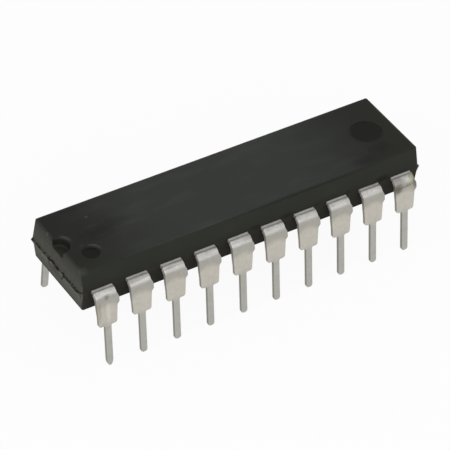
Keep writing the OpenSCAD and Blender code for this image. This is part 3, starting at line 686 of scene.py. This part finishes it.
def leadOutline(place, mirrored, pointed):
    leadX, rootEnd = (place + 0.5) * lead["pitch"], lead["bodyHalf"] - lead["root"]
    half = lead["shoulder"] / 2
    stubs = [not mirrored, mirrored]  # the stub stays on the same side of every lead in a row
    right = [(leadX + x, s) for x, s in outerHalf(stubs[0], pointed)]
    left = [(leadX - x, s) for x, s in reversed(outerHalf(stubs[1], pointed))]
    route = fingerRoute(place)
    leftSide = [p for p in fingerSide(route, -1) if p.y < rootEnd - 1e-4]
    rightSide = [p for p in fingerSide(route, 1) if p.y < rootEnd - 1e-4]
    sides = []
    for side, points in ((-1, leftSide), (1, rightSide)):  # where each side leaves the root
        first = fingerSide(route, side)[0]
        following = fingerSide(route, side)[1]
        if first.y > rootEnd:
            share = (first.y - rootEnd) / (first.y - following.y)
            start = first.lerp(following, share)
        else:
            start = Vector((first.x, rootEnd))
        sides.append([start] + points)
    finger = [tuple(p) for p in sides[0]] + [tuple(p) for p in reversed(sides[1])]
    if finger[0][0] > finger[-1][0]:
        finger.reverse()
    return [(leadX + half, rootEnd)] + right + left + [(leadX - half, rootEnd)] + finger


# Out and up, for a point on the flat metal and how deep it is under the outer face
def bentPlace(s, depth):
    offset = lead["metal"] / 2 - depth
    if s <= lead["bendStart"]:
        return s, lead["partingZ"] - depth
    turned = min(s, lead["bendEnd"]) - lead["bendStart"]
    angle = math.pi / 2 - turned / lead["middleRadius"]
    out = lead["bendStart"] + (lead["middleRadius"] + offset) * math.cos(angle)
    up = lead["bendZ"] + (lead["middleRadius"] + offset) * math.sin(angle)
    down = max(s - lead["bendEnd"], 0)
    splay = math.radians(lead["splay"])
    down += offset * math.tan(splay) * min(down / 0.3, 1)  # the tip is cut level
    return out + down * math.sin(splay), up - down * math.cos(splay)


def swellAt(along, share):
    for (a, outerA, innerA), (b, outerB, innerB) in zip(lead["swell"], lead["swell"][1:]):
        if a <= along <= b:
            t = (along - a) / (b - a)
            outer, inner = outerA + t * (outerB - outerA), innerA + t * (innerB - innerA)
            return outer + share * (inner - outer)
    return 0.0


# Knock on the first lead's bend: how far across and along the metal it lies, how wide, how deep
dent = {"across": -0.02, "along": -0.05, "halfWidth": 0.22, "halfLength": 0.16,
        "inward": 0.05, "down": 0.02, "cuts": (-0.45, -0.3, -0.15, 0, 0.15, 0.3, 0.45)}


def makeLead(number):
    name = f"lead_{number:02d}"
    alongSide = number if number <= lead["perSide"] else number - lead["perSide"]
    steps = alongSide - 0.5 - lead["perSide"] / 2
    place, mirrored, turned = int(abs(steps)), steps < 0, number > lead["perSide"]
    leadX, plainSide = (place + 0.5) * lead["pitch"], 1 if mirrored else -1
    bm = bmesh.new()
    face = bm.faces.new([bm.verts.new((x, s, 0)) for x, s in leadOutline(place, mirrored, number == 1)])
    grown = bmesh.ops.extrude_face_region(bm, geom=[face])["geom"]
    bmesh.ops.translate(bm, verts=[g for g in grown if isinstance(g, bmesh.types.BMVert)],
                        vec=(0, 0, lead["metal"]))
    bmesh.ops.recalc_face_normals(bm, faces=bm.faces)
    rims = [e for e in bm.edges if abs(e.verts[0].co.z - e.verts[1].co.z) < 1e-6]
    bmesh.ops.bevel(bm, geom=rims, offset=lead["rim"], segments=lead["rimSteps"], profile=0.5,
                    affect="EDGES", clamp_overlap=True)
    turnLength = lead["bendEnd"] - lead["bendStart"]
    cuts = [lead["bendStart"] + turnLength * i / lead["bendCuts"] for i in range(lead["bendCuts"] + 1)]
    cuts += [lead["bodyHalf"] - 0.1] + [lead["bendEnd"] + down for down in lead["legCuts"]]
    for s in cuts:
        everything = bm.verts[:] + bm.edges[:] + bm.faces[:]
        bmesh.ops.bisect_plane(bm, geom=everything, plane_co=(0, s, 0), plane_no=(0, 1, 0), dist=1e-5)
    if number == 1:  # the dented lead needs points to dent
        for x in dent["cuts"]:
            everything = bm.verts[:] + bm.edges[:] + bm.faces[:]
            bmesh.ops.bisect_plane(bm, geom=everything, plane_co=(leadX + x, 0, 0), plane_no=(1, 0, 0),
                                   dist=1e-5)
    bm.normal_update()
    sheared = bm.faces.layers.float.new("shearedEdge")
    flat = bm.loops.layers.uv.new("leadFlat")
    for face in bm.faces:
        face[sheared] = 1.0 if abs(face.normal.z) < 0.4 else 0.0
        face.smooth = True
        for loop in face.loops:
            loop[flat].uv = (loop.vert.co.x - leadX, loop.vert.co.y - lead["bodyHalf"])
    for vert in bm.verts:
        across, s, height = vert.co
        depth = lead["metal"] - height
        out, up = bentPlace(s, depth)
        if (across - leadX) * plainSide > lead["swellFrom"]:
            across += plainSide * swellAt(s - lead["bodyHalf"], depth / lead["metal"])
        x = -across if mirrored else across
        if number == 1:
            aside = (across - leadX - dent["across"]) / dent["halfWidth"]
            along = (s - lead["bendEnd"] - dent["along"]) / dent["halfLength"]
            knock = math.exp(-aside ** 2 - along ** 2)
            out -= dent["inward"] * knock
            up -= dent["down"] * knock
        vert.co = Vector((-x, out, up)) * mm if turned else Vector((x, -out, up)) * mm
    bmesh.ops.recalc_face_normals(bm, faces=bm.faces)
    mesh = bpy.data.meshes.new(name)
    bm.to_mesh(mesh)
    bm.free()
    mesh.set_sharp_from_angle(angle=math.radians(50))
    piece = bpy.data.objects.new("formed_" + name, mesh)
    bpy.context.scene.collection.objects.link(piece)
    weighted = piece.modifiers.new("evenShading", "WEIGHTED_NORMAL")
    weighted.keep_sharp = True
    mesh.materials.append(tinned)
    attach(piece, "root")
    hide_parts(name)
    return piece


leads = [makeLead(number) for number in range(1, 2 * lead["perSide"] + 1)]
print("leads formed:", len(leads), "with", sum(len(p.data.polygons) for p in leads), "faces")


# Ragged leaf of flash along the crest of each end's ridge, and the torn face of the gate
flash = {"crestX": 13.07, "crestZ": 5.72, "halfWidth": 3.04, "step": 0.05, "lipTop": 0.05,
         "lipThickness": 0.035}
gateScar = {"y": (-0.73, 0.93), "z": (5.18, 5.74), "faceX": -13.00, "rough": 0.045, "steps": (40, 16)}


def makeFlash(side):
    bm, rings = bmesh.new(), []
    count = int(2 * flash["halfWidth"] / flash["step"])
    for i in range(count + 1):
        y = -flash["halfWidth"] + i * flash["step"]
        ragged = noise.fractal(Vector((y * 2.2, side * 7.0, 0.3)), 1.0, 2.0, 5)
        fine = noise.noise(Vector((y * 9.0, side * 3.0, 4.0)))
        ends = min(1, 4 * (1 - abs(y) / flash["halfWidth"]))
        top = ends * max(0.0, flash["lipTop"] * (0.55 + 0.9 * ragged + 0.35 * fine))
        outer = flash["crestX"] - 0.004 - 0.02 * abs(fine)
        inner = outer - flash["lipThickness"]
        ring = [(outer, flash["crestZ"] - 0.01), (outer - 0.012, flash["crestZ"] + 0.012 + top),
                (inner, flash["crestZ"] + 0.02 + top * 0.9), (inner - 0.01, flash["crestZ"] - 0.01)]
        rings.append([bm.verts.new(Vector((side * x, y, z)) * mm) for x, z in ring])
    for a, b in zip(rings, rings[1:]):
        for j in range(4):
            bm.faces.new((a[j], b[j], b[(j + 1) % 4], a[(j + 1) % 4]))
    bm.faces.new(rings[0])
    bm.faces.new(rings[-1])
    bmesh.ops.recalc_face_normals(bm, faces=bm.faces)
    return bm


def makeGateScar():
    bm, grid = bmesh.new(), []
    across, high = gateScar["steps"]
    for i in range(across + 1):
        row = []
        for j in range(high + 1):
            u, v = i / across, j / high
            y = gateScar["y"][0] + u * (gateScar["y"][1] - gateScar["y"][0])
            z = gateScar["z"][0] + v * (gateScar["z"][1] - gateScar["z"][0])
            edge = min(1, 8 * min(u, 1 - u), 5 * min(v, 1 - v) + 0.2)
            lump = 0.5 + 0.5 * noise.fractal(Vector((y * 3.1, z * 4.0, 1.7)), 0.8, 2.1, 5)
            x = gateScar["faceX"] + 0.006 - edge * gateScar["rough"] * lump
            row.append(bm.verts.new(Vector((x, y, z)) * mm))
        grid.append(row)
    for i in range(across):
        for j in range(high):
            bm.faces.new((grid[i][j], grid[i + 1][j], grid[i + 1][j + 1], grid[i][j + 1]))
    rim = [e for e in bm.edges if e.is_boundary]
    grown = bmesh.ops.extrude_edge_only(bm, edges=rim)["geom"]
    bmesh.ops.translate(bm, verts=[g for g in grown if isinstance(g, bmesh.types.BMVert)],
                        vec=(0.03 * mm, 0, 0))
    bmesh.ops.holes_fill(bm, edges=[e for e in bm.edges if e.is_boundary])
    bmesh.ops.recalc_face_normals(bm, faces=bm.faces)
    return bm


def addMouldingDetail(name, bm, smooth):
    mesh = bpy.data.meshes.new(name)
    for face in bm.faces:
        face.smooth = smooth
    bm.to_mesh(mesh)
    bm.free()
    mesh.materials.append(mouldedEpoxy)
    piece = bpy.data.objects.new(name, mesh)
    bpy.context.scene.collection.objects.link(piece)
    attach(piece, "root")


addMouldingDetail("flash_notched_end", makeFlash(-1), False)
addMouldingDetail("flash_plain_end", makeFlash(1), False)
addMouldingDetail("gate_scar", makeGateScar(), False)
print("flash and gate scar added")


# Pale floor, white surroundings and two large soft panels
# Places in mm, strengths in watts at this small scale
studio = {
    "floorSize": 900, "floorColour": (0.93, 0.93, 0.93, 1), "whiteShare": 0.93, "worldLevel": 0.55,
    "panels": [
        {"name": "left_panel", "place": (-540, -340, 300), "size": (1100, 560), "watts": 2.9},
        {"name": "front_panel", "place": (200, -560, 300), "size": (1100, 560), "watts": 1.7},
    ],
}


def makeStudio():
    size = studio["floorSize"] * mm
    mesh = bpy.data.meshes.new("studio_floor")
    bm = bmesh.new()
    bm.faces.new([bm.verts.new((size * math.cos(a), size * math.sin(a), 0))
                  for a in (math.radians(i * 7.5) for i in range(48))])
    bm.to_mesh(mesh)
    bm.free()
    floor = bpy.data.objects.new("studio_floor", mesh)
    bpy.context.scene.collection.objects.link(floor)
    material = bpy.data.materials.new("pale_floor")
    material.use_nodes = True
    tree = material.node_tree
    tree.nodes.remove(tree.nodes["Principled BSDF"])
    matt = addNode(tree, "BsdfDiffuse", 0, 0, {"Color": studio["floorColour"]})
    white = addNode(tree, "Emission", 0, 1, {"Color": (1, 1, 1, 1), "Strength": 1.0})
    rays = addNode(tree, "LightPath", -2, 2)
    seen = calc(tree, -1, 2, "MAXIMUM", rays.outputs["Is Camera Ray"], rays.outputs["Is Glossy Ray"])
    share = calc(tree, 0, 2, "MULTIPLY", seen, studio["whiteShare"])
    both = addNode(tree, "MixShader", 1, 0, {0: share, 1: matt.outputs[0], 2: white.outputs[0]})
    tree.links.new(both.outputs[0], tree.nodes["Material Output"].inputs[0])
    mesh.materials.append(material)

    world = bpy.data.worlds.new("white_studio")
    world.use_nodes = True
    bpy.context.scene.world = world
    tree = world.node_tree
    rays = addNode(tree, "LightPath", -3, 0)
    seen = calc(tree, -2, 0, "MAXIMUM", rays.outputs["Is Camera Ray"], rays.outputs["Is Glossy Ray"])
    clear = calc(tree, -1, 0, "MAXIMUM", seen, rays.outputs["Is Transmission Ray"])
    strength = span(tree, 0, 0, clear, 0.0, 1.0, studio["worldLevel"], 1.0)
    back = tree.nodes["Background"]
    back.inputs["Color"].default_value = (1, 1, 1, 1)
    tree.links.new(strength, back.inputs["Strength"])

    for panel in studio["panels"]:
        light = bpy.data.lights.new(panel["name"], "AREA")
        light.shape, light.energy = "RECTANGLE", panel["watts"]
        light.size, light.size_y = panel["size"][0] * mm, panel["size"][1] * mm
        holder = bpy.data.objects.new(panel["name"], light)
        holder.location = Vector(panel["place"]) * mm
        aim = Vector((0, 0, 5)) * mm - holder.location
        holder.rotation_euler = aim.to_track_quat("-Z", "Y").to_euler()
        bpy.context.scene.collection.objects.link(holder)


makeStudio()
bpy.context.scene.view_settings.view_transform = "Standard"
print("studio lit")
